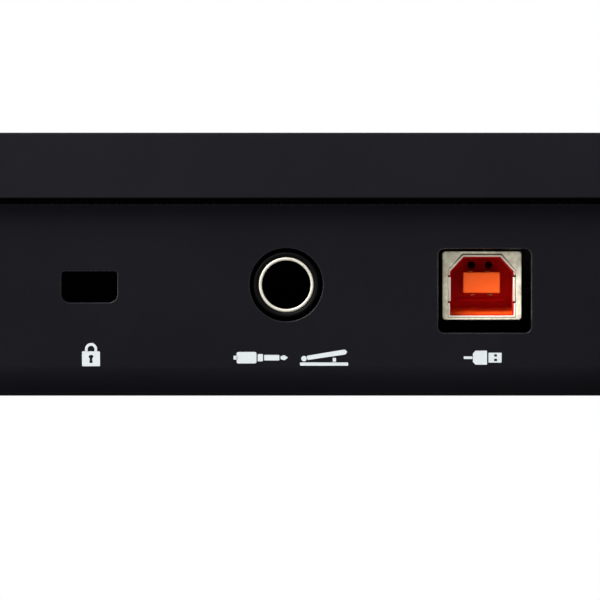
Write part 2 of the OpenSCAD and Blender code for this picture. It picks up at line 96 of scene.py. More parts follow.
def soft_sun(name, towards, strength, spread):
    """A wide, even light from one direction, which lights the whole floor alike."""
    data = bpy.data.lights.new(name, "SUN")
    data.energy = strength
    data.angle = math.radians(spread)
    light = bpy.data.objects.new(name, data)
    bpy.context.scene.collection.objects.link(light)
    light.rotation_euler = Vector(towards).to_track_quat("Z", "Y").to_euler()
    return light


FILL_TARGET, FILL_SIZE, FILL_COLOUR = (-0.05, 0.09, 0.70), (0.9, 0.9), (1.0, 0.99, 0.99)
key_light = area_light("key_light", (0.50, 0.62, 1.60), (-0.03, 0.09, 0.71), (0.9, 0.7), 28,
                       (1.0, 0.99, 0.98))
left_fill = area_light("left_fill", (1.7, 1.3, 1.0), FILL_TARGET, FILL_SIZE, 19, FILL_COLOUR)
right_fill = area_light("right_fill", (-1.7, 1.2, 0.9), FILL_TARGET, FILL_SIZE, 5, FILL_COLOUR)
soft_sun("top_sun", (0.1, 0.1, 1), 1.9, 60)
soft_sun("front_sun", (-0.55, -0.75, 0.65), 1.6, 45)
soft_sun("side_sun", (0.95, -0.25, 0.35), 0.5, 40)

# The camera sees a white background, while the light that comes from it is weak.
world = bpy.data.worlds.new("world")
bpy.context.scene.world = world
world.use_nodes = True
nodes, links = world.node_tree.nodes, world.node_tree.links
nodes.clear()
world_out = nodes.new("ShaderNodeOutputWorld")
seen = nodes.new("ShaderNodeBackground")
seen.inputs["Color"].default_value = (1, 1, 1, 1)
seen.inputs["Strength"].default_value = 1.0
shining = nodes.new("ShaderNodeBackground")
shining.inputs["Color"].default_value = (0.93, 0.96, 1.0, 1)
shining.inputs["Strength"].default_value = 0.10
ray = nodes.new("ShaderNodeLightPath")
choose = nodes.new("ShaderNodeMixShader")
links.new(ray.outputs["Is Camera Ray"], choose.inputs[0])
links.new(shining.outputs[0], choose.inputs[1])
links.new(seen.outputs[0], choose.inputs[2])
links.new(choose.outputs[0], world_out.inputs["Surface"])
bpy.context.scene.view_settings.view_transform = "Standard"


# ---- Materials ----

def material(name, colour, rough, metallic=0.0, vary=0.12, grain=900, bump=0.15, bump_mm=0.02,
             wear=0.0, wear_colour=(0.3, 0.3, 0.3), coat=0.0, specular=0.5, blotch=60,
             rough_vary=0.08, stretch=(1, 1, 1)):
    """A moulded or worked surface: blotches and grain in its colour and roughness, and a grain in relief."""
    m = bpy.data.materials.new(name)
    m.use_nodes = True
    t = m.node_tree
    n, l = t.nodes, t.links
    shader = n["Principled BSDF"]
    shader.inputs["Metallic"].default_value = metallic
    shader.inputs["Coat Weight"].default_value = coat
    shader.inputs["Coat Roughness"].default_value = 0.12
    shader.inputs["Specular IOR Level"].default_value = specular
    where = n.new("ShaderNodeTexCoord")
    scaled = n.new("ShaderNodeMapping")
    scaled.inputs["Scale"].default_value = stretch
    l.new(where.outputs["Object"], scaled.inputs["Vector"])
    broad = n.new("ShaderNodeTexNoise")
    broad.inputs["Scale"].default_value = blotch
    broad.inputs["Detail"].default_value = 4
    fine = n.new("ShaderNodeTexNoise")
    fine.inputs["Scale"].default_value = grain
    fine.inputs["Detail"].default_value = 3
    for texture in (broad, fine):
        l.new(scaled.outputs["Vector"], texture.inputs["Vector"])
    both = n.new("ShaderNodeMath")
    both.operation = "ADD"
    half = n.new("ShaderNodeMath")
    half.operation = "MULTIPLY"
    half.inputs[1].default_value = 0.5
    l.new(broad.outputs["Fac"], both.inputs[0])
    l.new(fine.outputs["Fac"], both.inputs[1])
    l.new(both.outputs[0], half.inputs[0])
    tint = n.new("ShaderNodeValToRGB")
    tint.color_ramp.elements[0].position = 0.3
    tint.color_ramp.elements[1].position = 0.7
    tint.color_ramp.elements[0].color = [c * (1 - vary) for c in colour] + [1]
    tint.color_ramp.elements[1].color = [min(1, c * (1 + vary)) for c in colour] + [1]
    l.new(half.outputs[0], tint.inputs["Fac"])
    colour_out = tint.outputs["Color"]
    if wear:
        scuffs = n.new("ShaderNodeTexNoise")
        scuffs.inputs["Scale"].default_value = 45
        scuffs.inputs["Detail"].default_value = 9
        scuffs.inputs["Roughness"].default_value = 0.72
        scuffs.inputs["Distortion"].default_value = 0.6
        l.new(scaled.outputs["Vector"], scuffs.inputs["Vector"])
        patchy = n.new("ShaderNodeMapRange")
        patchy.inputs["From Min"].default_value = 0.56
        patchy.inputs["From Max"].default_value = 0.72
        l.new(scuffs.outputs["Fac"], patchy.inputs["Value"])
        amount = n.new("ShaderNodeMath")
        amount.operation = "MULTIPLY"
        amount.inputs[1].default_value = wear
        l.new(patchy.outputs["Result"], amount.inputs[0])
        mix = n.new("ShaderNodeMix")
        mix.data_type = "RGBA"
        l.new(amount.outputs[0], mix.inputs["Factor"])
        l.new(colour_out, mix.inputs["A"])
        mix.inputs["B"].default_value = (*wear_colour, 1)
        colour_out = mix.outputs["Result"]
    l.new(colour_out, shader.inputs["Base Color"])
    gloss = n.new("ShaderNodeMapRange")
    gloss.inputs["From Min"].default_value = 0.3
    gloss.inputs["From Max"].default_value = 0.7
    gloss.inputs["To Min"].default_value = max(0.03, rough - rough_vary)
    gloss.inputs["To Max"].default_value = min(1, rough + rough_vary)
    l.new(half.outputs[0], gloss.inputs["Value"])
    l.new(gloss.outputs["Result"], shader.inputs["Roughness"])
    if bump:
        relief = n.new("ShaderNodeBump")
        relief.inputs["Strength"].default_value = bump
        relief.inputs["Distance"].default_value = bump_mm * MM
        l.new(fine.outputs["Fac"], relief.inputs["Height"])
        l.new(relief.outputs["Normal"], shader.inputs["Normal"])
    return m


CASE = {"colour": (0.0053, 0.0050, 0.0075), "rough": 0.55, "grain": 2600, "bump": 0.5, "bump_mm": 0.03,
        "specular": 0.065}
M = {
    "upper": material("upper_plastic", **CASE),
    "panel": material("panel_plastic", **CASE),
    "lower": material("lower_plastic", **CASE),
    # The panel's edges: a little lighter than its face, a painted highlight, and glossier, so they also catch
    # the real light.
    "panel_edge": material("panel_edge_painted_highlight", (0.0085, 0.008, 0.011), 0.24, grain=2600, bump=0.2,
                           bump_mm=0.02, specular=0.6),
    "inner": material("inner_plastic", (0.006, 0.006, 0.007), 0.75, grain=1400, specular=0.1),
    "white_key": material("white_key_plastic", (0.80, 0.78, 0.72), 0.26, vary=0.012, grain=3000, blotch=12,
                          bump=0.04, bump_mm=0.01, coat=0.3, rough_vary=0.03),
    "black_key": material("black_key_plastic", (0.009, 0.009, 0.0095), 0.4, grain=2200, bump=0.35,
                          specular=0.3),
    "steel": material("ground_steel", (0.55, 0.55, 0.56), 0.3, metallic=1.0, grain=300, stretch=(0.02, 1, 1)),
    "nickel": material("nickel_plate", (0.92, 0.76, 0.55), 0.5, metallic=0.35, vary=0.45, grain=1500,
                       blotch=420, bump=0.4, bump_mm=0.03, rough_vary=0.14),
    "jack_metal": material("jack_nickel", (0.42, 0.40, 0.36), 0.35, metallic=1.0, vary=0.08, grain=2400),
    "jack_body": material("jack_plastic", (0.0014, 0.0014, 0.0014), 0.55, grain=1800, bump=0.3,
                          specular=0.08),
    "insert": material("port_plastic", (1.0, 0.115, 0.012), 0.34, vary=0.06, grain=800, bump=0.1,
                       specular=0.3),
    # A darker, deeper red copy of the port's plastic, for the insert's body inside the port: painted shade.
    "insert_painted_shade": material("port_plastic_painted_shade", (0.72, 0.006, 0.005), 0.6, grain=500, specular=0.08),
    # Nearly black steel for the hidden parts inside the openings, the lock plate, the shell's legs and the
    # socket's spring: painted shade, which keeps the openings black.
    "zinc": material("steel_painted_shade", (0.035, 0.035, 0.037), 0.6, metallic=1.0, grain=700),
    "board": material("solder_mask", (0.010, 0.075, 0.028), 0.35, grain=700),
    "silicone": material("grey_silicone", (0.16, 0.17, 0.18), 0.75, grain=500),
    "cone": material("speaker_paper", (0.02, 0.02, 0.02), 0.85, grain=350, bump=0.6, bump_mm=0.1),
    "grille": material("grille_paint", (0.013, 0.013, 0.014), 0.5, metallic=0.2, grain=1800, bump=0.5,
                       wear=0.5, wear_colour=(0.12, 0.12, 0.12)),
    "rubber": material("moulded_rubber", (0.011, 0.011, 0.011), 0.8, vary=0.2, grain=700, bump=0.5,
                       bump_mm=0.08, specular=0.25),
    "screw": material("zinc_screw", (0.62, 0.62, 0.60), 0.32, metallic=1.0, grain=600, vary=0.15),
    "control": material("control_plastic", (0.02, 0.02, 0.021), 0.5, grain=1800, bump=0.4, specular=0.3),
    "tube": material("powder_coat", (0.0085, 0.0085, 0.009), 0.45, vary=0.08, grain=1500, blotch=25, bump=0.7,
                     bump_mm=0.06, wear=0.35, wear_colour=(0.05, 0.05, 0.05), specular=0.3,
                     rough_vary=0.05),
    "clutch": material("clutch_coat", (0.012, 0.012, 0.0125), 0.5, bump=0.6, bump_mm=0.06, wear=0.3,
                       wear_colour=(0.06, 0.06, 0.06), specular=0.35),
    "hand_knob": material("knob_plastic", (0.011, 0.011, 0.0115), 0.5, bump=0.6, bump_mm=0.06, wear=0.3,
                          wear_colour=(0.07, 0.07, 0.07), specular=0.35),
    # The rim and springs are the shell's own metal, in a lighter, pinker copy: a painted highlight along the
    # mouth's edge.
    "rim": material("rim_nickel", (1.0, 0.84, 0.72), 0.4, metallic=0.35, vary=0.08, grain=2400),
    # The socket's lip is the sleeve's own metal, in a lighter, creamier copy than the sleeve behind it:
    # painted light on the ring.
    "jack_rim": material("jack_rim_nickel", (0.66, 0.63, 0.54), 0.4, metallic=0.35, vary=0.1, grain=2400),
    "felt": material("key_felt", (0.20, 0.012, 0.016), 0.95, vary=0.25, grain=1400, bump=0.9, bump_mm=0.15,
                     specular=0.1),
    "lens": material("lamp_lens", (0.05, 0.42, 0.12), 0.2, vary=0.1, grain=900, bump=0.05, coat=0.5),
    "gold": material("gold_contact", (0.72, 0.52, 0.22), 0.3, metallic=1.0, grain=900),
    "print": material("white_print", (0.48, 0.515, 0.53), 0.6, vary=0.04, grain=1500, bump=0.1),
}


# ---- Floor ----

FLOOR_RINGS = (0.6, 1.8, 5.5)  # radii; the last one is the floor's own
FLOOR_SIDES = 96


def add_floor():
    """A plain pale disc under the stand."""
    bm = bmesh.new()
    sides = FLOOR_SIDES
    rings = [[bm.verts.new((r * math.cos(a), r * math.sin(a), 0))
              for a in (i * math.tau / sides for i in range(sides))] for r in FLOOR_RINGS]
    bm.faces.new(rings[0])
    for inner, outer in zip(rings, rings[1:]):
        for i in range(sides):
            bm.faces.new((inner[i], outer[i], outer[(i + 1) % sides], inner[(i + 1) % sides]))
    data = bpy.data.meshes.new("floor")
    bm.to_mesh(data)
    bm.free()
    floor = bpy.data.objects.new("floor", data)
    bpy.context.scene.collection.objects.link(floor)
    data.materials.append(material("pale_floor", (0.9, 0.9, 0.893), 0.7, vary=0.015, grain=60, blotch=4,
                                   bump=0.05, specular=0.2))
    floor.visible_glossy = False
    return floor


floor = add_floor()


# ---- CAD nodes: rounded edges and their materials ----

SHARP = math.radians(38)  # the least angle of an edge that is shaded sharp


def smooth_group():
    """A node group that shades smooth, except across sharp edges."""
    g = bpy.data.node_groups.new("smooth_by_edge", "GeometryNodeTree")
    g.interface.new_socket("Geometry", in_out="INPUT", socket_type="NodeSocketGeometry")
    g.interface.new_socket("Geometry", in_out="OUTPUT", socket_type="NodeSocketGeometry")
    start, end = g.nodes.new("NodeGroupInput"), g.nodes.new("NodeGroupOutput")
    faces = g.nodes.new("GeometryNodeSetShadeSmooth")
    faces.domain = "FACE"
    edges = g.nodes.new("GeometryNodeSetShadeSmooth")
    edges.domain = "EDGE"
    angle = g.nodes.new("GeometryNodeInputMeshEdgeAngle")
    flat = g.nodes.new("FunctionNodeCompare")
    flat.data_type, flat.operation = "FLOAT", "LESS_THAN"
    flat.inputs[1].default_value = SHARP
    g.links.new(angle.outputs["Unsigned Angle"], flat.inputs[0])
    g.links.new(flat.outputs["Result"], edges.inputs["Shade Smooth"])
    g.links.new(start.outputs[0], faces.inputs["Geometry"])
    g.links.new(faces.outputs["Geometry"], edges.inputs["Geometry"])
    g.links.new(edges.outputs["Geometry"], end.inputs[0])
    return g


SMOOTH = smooth_group()
SEAM = 0.006 * MM  # points of a CAD mesh this close are one
FLAT = math.radians(0.5)  # faces this near to one plane are one
CORNER = math.radians(60)  # the least angle of an edge that is rounded

# Nodes whose flat faces wrap round openings or lobes: those are split before their edges are rounded.
SPLIT = ("top_cover", "clamp_knob")


def round_edges(piece, width_mm, segments, split):
    """Closes a CAD mesh's seams, clears the lines inside its flat faces and rounds its sharp edges."""
    seams = piece.modifiers.new("seams", "WELD")
    seams.merge_threshold = SEAM
    plain = piece.modifiers.new("dissolve", "DECIMATE")
    plain.decimate_type = "DISSOLVE"
    plain.angle_limit = FLAT
    if split:
        cut = piece.modifiers.new("split", "TRIANGULATE")
        cut.min_vertices = 4
    if width_mm:
        bevel = piece.modifiers.new("bevel", "BEVEL")
        bevel.width = width_mm * MM
        bevel.segments = segments
        bevel.use_clamp_overlap = False
        bevel.loop_slide = False  # sliding leaves slivers over the flat faces, which shade dark
        bevel.limit_method = "ANGLE"
        bevel.angle_limit = CORNER


def smooth_faces(piece):
    """Shades a piece smooth over its rounded edges, and its flat faces flat."""
    shade = piece.modifiers.new("smooth", "NODES")
    shade.node_group = SMOOTH
    weigh = piece.modifiers.new("weigh", "WEIGHTED_NORMAL")
    weigh.keep_sharp = True


def dress(node, look, width_mm, segments=2):
    """Gives a CAD node its material and its rounded edges."""
    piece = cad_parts[node]
    piece.data.materials.clear()
    piece.data.materials.append(M[look])
    round_edges(piece, width_mm, segments, node in SPLIT)
    smooth_faces(piece)


# Each node's material, the radius of its edges in millimetres (0 where they don't show) and, where it
# isn't 2, the number of segments in them.
LOOKS = {
    "bottom_case": ("lower", 0.4), "rear_panel": ("panel", 0.15), "top_cover": ("upper", 0.3),
    "key_frame": ("inner", 0), "key_rod": ("steel", 0.3), "contact_strip": ("silicone", 0),
    "circuit_boards": ("board", 0), "usb_shell": ("nickel", 0), "usb_insert": ("insert", 0),
    # The lock plate is in the nearly black steel, which paints the slot's shade.
    "pedal_jack": ("jack_body", 0.2), "jack_sleeve": ("jack_metal", 0), "lock_plate": ("zinc", 0.12),
    "speakers": ("cone", 0), "speaker_grilles": ("grille", 0.09, 1), "case_feet": ("rubber", 0.5),
    "case_screws": ("screw", 0), "volume_knob": ("control", 0.25), "power_button": ("control", 0.3),
    "voice_down_button": ("control", 0.3), "voice_up_button": ("control", 0.3),
    "left_leg": ("tube", 0.5), "right_leg": ("tube", 0.5), "left_clutch": ("clutch", 0.4),
    "right_clutch": ("clutch", 0.4), "left_rubbers": ("rubber", 1.2, 3),
    "right_rubbers": ("rubber", 1.2, 3),
    "pivot_bolt": ("screw", 0.25), "clamp_knob": ("hand_knob", 0.7, 3),
}
BLACK_KEY, WHITE_KEY = ("black_key", 0.5), ("white_key", 0.35)  # the same, for every node that is a key
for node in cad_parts:
    dress(node, *LOOKS.get(node, BLACK_KEY if "sharp" in node else WHITE_KEY))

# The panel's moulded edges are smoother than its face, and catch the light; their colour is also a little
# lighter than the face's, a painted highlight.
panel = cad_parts["rear_panel"]
panel.data.materials.append(M["panel_edge"])
panel.modifiers["bevel"].material = 1


def link_light(light, things, state):
    """Limits a light to these things, or keeps it off them."""
    chosen = bpy.data.collections.new(light.name + "_" + state.lower())
    for thing in things:
        chosen.objects.link(thing)
    for held in chosen.collection_objects:
        held.light_linking.link_state = state
    light.light_linking.receiver_collection = chosen


# The area lights are close to the back, so the floor is left to the suns, which light it evenly, and one
# more sun lights the floor alone. The key light also leaves out the white keys, which it would burn out.
white_keys = [thing for node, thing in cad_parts.items() if thing.data.materials[0] == M["white_key"]]
link_light(key_light, [floor] + white_keys, "EXCLUDE")
link_light(left_fill, [floor], "EXCLUDE")
link_light(right_fill, [floor], "EXCLUDE")
link_light(soft_sun("floor_sun", (-0.1, -0.1, 1), 0.42, 90), [floor], "INCLUDE")


# ---- Building tools for the fine pieces, which work in millimetres ----

def mapped(origin, right, up):
    """A matrix that puts millimetre drawings (across, up, out) at origin, in metres."""
    right, up = Vector(right).normalized(), Vector(up).normalized()
    out = right.cross(up)
    turn = Matrix((right, up, out)).transposed().to_4x4()
    return Matrix.Translation(Vector(origin)) @ turn @ Matrix.Scale(MM, 4)


def arc(r, cx, cy, degrees):
    """Points on a circle about (cx, cy), at these angles."""
    return [(cx + r * math.cos(math.radians(a)), cy + r * math.sin(math.radians(a))) for a in degrees]


def circle(r, cx, cy, n):
    return arc(r, cx, cy, [360 * i / n for i in range(n)])


def rounded(points, r, n=6):
    """A closed outline whose corners are curves, of about this radius and of n lines each."""
    made = []
    for i, corner in enumerate(points):
        corner = Vector(corner)
        before, after = Vector(points[i - 1]) - corner, Vector(points[(i + 1) % len(points)]) - corner
        half = before.angle(after) / 2
        cut = min(r / math.tan(half), before.length * 0.49, after.length * 0.49)
        a, b = corner + before.normalized() * cut, corner + after.normalized() * cut
        for k in range(n + 1):
            t = k / n
            made.append(tuple(a * (1 - t) ** 2 + corner * 2 * t * (1 - t) + b * t ** 2))
    return made


def rect(w, h, r, cx=0.0, cy=0.0):
    """A rectangle about (cx, cy) with corners of radius r."""
    x, y = w / 2, h / 2
    return rounded([(cx - x, cy - y), (cx + x, cy - y), (cx + x, cy + y), (cx - x, cy + y)], r)


def plate(loops, low, high, edge=0.0):
    """A plate from low to high, with rounded edges. The first loop is its outline, the rest are holes."""
    data = bpy.data.curves.new("drawing", "CURVE")
    data.dimensions, data.fill_mode = "2D", "BOTH"
    data.extrude = (high - low) / 2 - edge
    data.bevel_depth, data.offset, data.bevel_resolution = edge, -edge, 2
    for loop in loops:
        spline = data.splines.new("POLY")
        spline.points.add(len(loop) - 1)
        spline.use_cyclic_u = True
        for point, (x, y) in zip(spline.points, loop):
            point.co = (x, y, 0, 1)
    drawing = bpy.data.objects.new("drawing", data)
    bpy.context.scene.collection.objects.link(drawing)
    mesh = bpy.data.meshes.new_from_object(drawing.evaluated_get(bpy.context.evaluated_depsgraph_get()))
    bpy.data.objects.remove(drawing)
    bpy.data.curves.remove(data)
    mesh.transform(Matrix.Translation((0, 0, (low + high) / 2)))
    return mesh


def lathe(profile, n=96):
    """A solid turned about the out axis; profile is a closed line of (radius, out)."""
    bm = bmesh.new()
    rings = []
    for r, h in profile:
        if r < 1e-6:
            rings.append([bm.verts.new((0, 0, h))])
        else:
            rings.append([bm.verts.new((r * math.cos(i * math.tau / n), r * math.sin(i * math.tau / n), h))
                          for i in range(n)])
    pairs = list(zip(rings, rings[1:] + rings[:1]))
    if len(rings[0]) == 1 and len(rings[-1]) == 1:
        pairs = pairs[:-1]
    for a, b in pairs:
        for i in range(n):
            j = (i + 1) % n
            quad = [a[i % len(a)], a[j % len(a)], b[j % len(b)], b[i % len(b)]]
            corners = [v for k, v in enumerate(quad) if v not in quad[:k]]
            if len(corners) > 2:
                bm.faces.new(corners)
    bmesh.ops.recalc_face_normals(bm, faces=bm.faces)
    mesh = bpy.data.meshes.new("turned")
    bm.to_mesh(mesh)
    bm.free()
    return mesh


def loft(loops):
    """A solid skinned over rings of the same length, which are lists of (across, up, out)."""
    bm = bmesh.new()
    rings = [[bm.verts.new(p) for p in loop] for loop in loops]
    n = len(rings[0])
    for a, b in zip(rings, rings[1:]):
        for i in range(n):
            bm.faces.new((a[i], a[(i + 1) % n], b[(i + 1) % n], b[i]))
    bm.faces.new(rings[0][::-1])
    bm.faces.new(rings[-1])
    bmesh.ops.recalc_face_normals(bm, faces=bm.faces)
    mesh = bpy.data.meshes.new("skin")
    bm.to_mesh(mesh)
    bm.free()
    return mesh


TOUCH = 0.0008 * MM  # points of a piece this close are one


def piece(name, parts, look, body, slot=None, replaces=()):
    """Joins meshes, each with the matrix that places it, into one named piece."""
    bm = bmesh.new()
    for mesh, place in parts:
        mesh.transform(place)
        bm.from_mesh(mesh)
        bpy.data.meshes.remove(mesh)
    bmesh.ops.remove_doubles(bm, verts=bm.verts, dist=TOUCH)
    data = bpy.data.meshes.new(name)
    bm.to_mesh(data)
    bm.free()
    data.materials.append(M[look])
    made = bpy.data.objects.new(name, data)
    bpy.context.scene.collection.objects.link(made)
    smooth_faces(made)
    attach(made, body)
    if replaces:
        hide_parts(*replaces)
    return made


def on_back(x, z, y=BACK):
    """Places a drawing on the back: across runs to the right as seen from behind."""
    return mapped((x, y, z), (-1, 0, 0), (0, 0, 1))


def on_deck(x, y, z=DECK):
    """Places a drawing on the deck: up in the drawing is towards the back."""
    return mapped((x, y, z), (1, 0, 0), (0, 1, 0))


# ---- Data port: its drawings are seen from behind, and out is 0 at the shell's face ----

MOUTH = (8.45, 7.78)
MOUTH_DROP = 0.08  # how far the mouth's middle is below the shell's
CHAMFER = (1.8, 1.95)  # what is cut off the mouth's upper corners, across and up
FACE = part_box("usb_shell")[1].y
SHELL = (10.4, 9.0, 16.6)  # width, height and depth
SHEET = 0.35  # the shell's thickness
FOLD = 0.45  # the depth of the front, folded round the mouth
FOLD_GAP = 0.24  # from the mouth's outline to the front's
ROOF_GAP = 0.16  # what the front's upper edge adds to that
SPRING = (-2.05, 1.1)  # the heights that the side springs span
NOTCH = 0.26  # the gap at each end of a spring
RIM = (-0.02, 0.22)  # the rim's inner and outer edge, from the mouth's outline
SPRING_IN, SPRING_OUT = 0.12, 0.2  # how far the springs reach inside that outline, and outside it
RIM_DEPTH, SPRING_DEPTH = 1.2, 6.5
BEYOND = 9  # a height outside the port
TONGUE = (4.86, 2.75, 0.39)  # width, height and how far its middle is above the shell's
# The tongue's rings, from its root to its tip: how much each is grown, and where it is.
TONGUE_RINGS = ((0.0, -10.5), (0.0, -1.4), (-0.1, -1.24), (-0.22, -1.2))
RAMP_HALF, RAMP_FLOOR = 4.1, -3.82
# The ramp's rings under the tongue: how high each is, and where it is.
RAMP_RINGS = ((1.0, -6.8), (0.78, -5.6), (0.6, -4.4), (0.42, -3.2), (0.22, -2.7), (0.1, -2.5))


def mouth(grow):
    """The port's mouth, a square with its upper corners cut off, grown by this much."""
    w, h = MOUTH[0] / 2 + grow, MOUTH[1] / 2 + grow
    bx, by = CHAMFER[0] + grow * 0.4, CHAMFER[1] + grow * 0.4
    right = [(w, -h - MOUTH_DROP), (w, h - by - MOUTH_DROP), (w - bx, h - MOUTH_DROP)]
    return right + [(-x, z) for x, z in right[::-1]]


def rim_part(inner, outer, floor_z, roof_z):
    """The outline of a strip that follows the mouth's edge where it lies between two heights."""
    band = []
    for grow in (inner, outer):
        corners = mouth(grow)
        line = []
        for i, (x, z) in enumerate(corners):
            ahead = corners[(i + 1) % len(corners)]
            line.append((x, z))
            for level in (floor_z, roof_z):
                if (z - level) * (ahead[1] - level) < 0:
                    t = (level - z) / (ahead[1] - z)
                    line.append((x + (ahead[0] - x) * t, level))
        kept = [i for i, (x, z) in enumerate(line) if floor_z - 1e-6 <= z <= roof_z + 1e-6]
        first = next(i for i in kept if (i - 1) % len(line) not in kept)
        band.append([line[(first + k) % len(line)] for k in range(len(kept))])
    return band[0] + band[1][::-1]


port = on_back(USB.x, USB.z, FACE)
shell_w, shell_h, shell_d = SHELL
fold = mouth(FOLD_GAP)
fold[2:4] = [(x, z + ROOF_GAP) for x, z in fold[2:4]]
inside = rect(shell_w - 2 * SHEET, shell_h - 2 * SHEET, 0.2)
shell_metal = piece("usb_shell_metal", [
    (plate([rect(shell_w, shell_h, 0.5), fold], -FOLD, 0, 0.1), port),
    (plate([rect(shell_w, shell_h, 0.45), inside], -shell_d, -FOLD, 0.05), port),
], "nickel", "piano", "nickel_shell", replaces=["usb_shell"])
edge = MOUTH[0] / 2
side = [(edge - SPRING_IN, SPRING[0]), (edge + SPRING_OUT, SPRING[0]),
        (edge + SPRING_OUT, SPRING[1]), (edge - SPRING_IN, SPRING[1])]
# The rim and side springs, in the lighter copy of the shell's metal, which paints a highlight round the
# mouth.
piece("usb_shell_rim", [
    (plate([rim_part(*RIM, SPRING[1] + NOTCH, BEYOND)], -RIM_DEPTH, 0.06, 0.09), port),
    (plate([rim_part(*RIM, -BEYOND, SPRING[0] - NOTCH)], -RIM_DEPTH, 0.06, 0.09), port),
    (plate([side], -SPRING_DEPTH, 0.05, 0.08), port),
    (plate([[(-x, z) for x, z in side]], -SPRING_DEPTH, 0.05, 0.08), port),
], "rim", "piano", "nickel_shell")
# The shell's legs, in the nearly black steel: painted shade inside the port.
piece("usb_shell_legs", [
    (plate([rect(0.8, 2.6, 0.1, sign * (shell_w / 2 - 0.4), -shell_h / 2 - 1.1)], -15.6, -12.6, 0.05), port)
    for sign in (-1, 1)
], "zinc", "piano", "nickel_shell")
# A small fill from the front for the port's metal, which the panel shades from the other lights.
port_fill = area_light("port_fill", (0.25, 1.3, 0.35), (USB.x, BACK, USB.z), (0.4, 0.4), 2.2,
                       (1.0, 0.97, 0.92))
link_light(port_fill, [shell_metal], "INCLUDE")

tongue = [[(x, z, out) for x, z in rect(TONGUE[0] + 2 * grow, TONGUE[1] + 2 * grow, 0.22, 0, TONGUE[2])]
          for grow, out in TONGUE_RINGS]
ramp = [[(-RAMP_HALF, RAMP_FLOOR, out), (RAMP_HALF, RAMP_FLOOR, out),
         (RAMP_HALF, RAMP_FLOOR + rise, out), (-RAMP_HALF, RAMP_FLOOR + rise, out)]
        for rise, out in RAMP_RINGS]
piece("usb_insert_tongue", [
    (loft(tongue), port),
    (loft(ramp), port),
], "insert", "piano", "port_insert", replaces=["usb_insert"])
holes = [circle(0.5, cx, 2.72, 20) for cx in (-1.2, 1.05)]
step = rect(6.6, 0.5, 0.15, 0, -1.9)
# The insert's body deep in the port is in the darker copy of its plastic, which paints the shade there.
piece("usb_insert_body", [
    (plate([mouth(-0.03), mouth(-0.17)], -13.5, -2.4, 0.03), port),
    (plate([mouth(-0.1)] + holes, -7.6, -6.8, 0.08), port),
    (plate([step], -7.0, -6.4, 0.15), port),
    (plate([mouth(-0.1)], -16.4, -13.6, 0.05), port),
], "insert_painted_shade", "piano", "port_insert")
CONTACT = (0.55, 5.4, 0.1)  # width, length and corners
CONTACTS = ((-1.46, 1.9), (0.83, 1.9), (-1.15, -1.13), (1.15, -1.13))  # where they are, across and up
CONTACT_OUT = -6.2
piece("usb_contacts", [
    (plate([rect(*CONTACT)], 0, 0.12, 0.03),
     mapped((USB.x - cx * MM, FACE + CONTACT_OUT * MM, USB.z + z * MM), (-1, 0, 0), (0, 1, 0)))
    for cx, z in CONTACTS
], "gold", "piano", "nickel_shell")


# ---- Pedal socket: profiles of (radius, out), which is 0 at the sleeve's end ----

SLEEVE = [(3.2, -8.4), (3.2, -0.5), (3.64, -0.5), (3.64, -8.4)]
LIP = [(3.2, -0.52), (3.2, -0.1), (3.24, -0.02), (3.3, 0.02), (3.46, 0.02), (3.54, -0.02), (3.58, -0.1),
       (3.58, -0.52)]
RIDGES = [(4.36 - 0.05 * (i % 2), -0.3 - 0.12 * i) for i in range(6)]
BUSH = [(3.66, -1.3), (3.66, -0.16), (3.72, -0.06), (3.9, 0.05), (4.12, 0.05), (4.24, -0.03), (4.3, -0.14),
        *RIDGES, (4.31, -1.3)]
TIP_SPRING = (1.5, 9.0, 0.3)  # width, length and corners
TIP_SPRING_Y = 0.0722  # where its middle is along the bore, in metres
TIP_SPRING_DROP = 2.75  # how far that is under the bore's middle

socket = on_back(SOCKET.x, SOCKET.z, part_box("jack_sleeve")[1].y)
piece("jack_sleeve_metal", [(lathe(SLEEVE), socket)], "jack_metal", "piano", "jack_metal",
      replaces=["jack_sleeve"])
# The lip is in the lighter copy of the sleeve's metal: painted light on the ring.
piece("jack_sleeve_lip", [(lathe(LIP), socket)], "jack_rim", "piano", "jack_metal")
piece("jack_bush_ring", [(lathe(BUSH), socket)], "jack_body", "piano", "jack_body")
# The tip spring is in the nearly black steel: painted shade inside the socket.
tip = mapped((SOCKET.x, TIP_SPRING_Y, SOCKET.z - TIP_SPRING_DROP * MM), (1, 0, 0), (0, 1, 0.12))
piece("jack_tip_spring", [(plate([rect(*TIP_SPRING)], 0, 0.25, 0.08), tip)], "zinc", "piano", "jack_metal")


# ---- Lock slot: the moulded pocket behind its steel plate ----

pocket = on_back(LOCK.x, LOCK.z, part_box("lock_plate")[0].y)
piece("lock_pocket", [
    (plate([rect(11, 8, 1), rect(9, 6, 0.6)], -6, -0.05, 0.2), pocket),
    (plate([rect(11, 8, 1)], -7.2, -6, 0.2), pocket),
], "inner", "piano", "rear_panel")


# ---- Printed signs: plain drawings, no lettering ----

PRINT = 0.035  # the print's thickness
# Rows of the photograph: the case's underside and the middle of the printed labels.
UNDERSIDE_ROW, LABEL_ROW = 396, 357.5
PIXEL = 0.131  # the size of one of its pixels


def stroke(points, width):
    """A line of even width as one outline, with square ends."""
    pts = [Vector(p) for p in points]
    left, right = [], []
    for i, p in enumerate(pts):
        ways = []
        if i:
            ways.append((p - pts[i - 1]).normalized())
        if i < len(pts) - 1:
            ways.append((pts[i + 1] - p).normalized())
        way = sum(ways, Vector((0, 0))).normalized()
        side = Vector((-way.y, way.x)) * (width / 2) / max(0.5, way.dot(ways[0]))
        left.append(tuple(p + side))
        right.append(tuple(p - side))
    return left + right[::-1]


def printed(name, shapes, place, body="piano"):
    """A print of these shapes, each a list of an outline and its holes."""
    parts = [(plate(loops, 0, PRINT), place.copy()) for loops in shapes]
    return piece(name, parts, "print", body)


